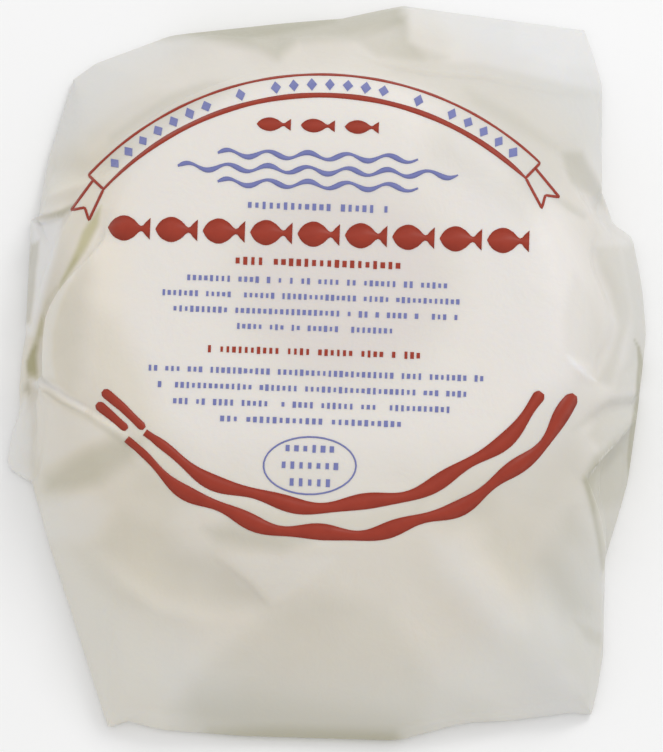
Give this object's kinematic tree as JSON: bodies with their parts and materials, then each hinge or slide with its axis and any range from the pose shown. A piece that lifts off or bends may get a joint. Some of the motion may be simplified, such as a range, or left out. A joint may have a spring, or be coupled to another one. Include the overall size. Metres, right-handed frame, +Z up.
{
  "type": "packed fish pudding",
  "caption": "Round fish pudding sealed in white wrapping film with folded-under ends and side pleats, lying on its back with a plain red and blue print on top.",
  "frame": {"origin": "middle of the pack's footprint, on the flat back that it lies on", "axes": "+Z up through the pudding's thickness, +Y along the reading direction towards the far flap, +X to the print's right"},
  "size_m": [0.159, 0.193, 0.0375],
  "materials": {
    "wrapping_film": "satin milky-white film, slightly translucent",
    "red_ink": "printed red ink on film",
    "blue_ink": "printed blue ink on film"
  },
  "bodies": {
    "root": {"wrapped_pudding": "wrapping_film"}
  },
  "joints": []
}
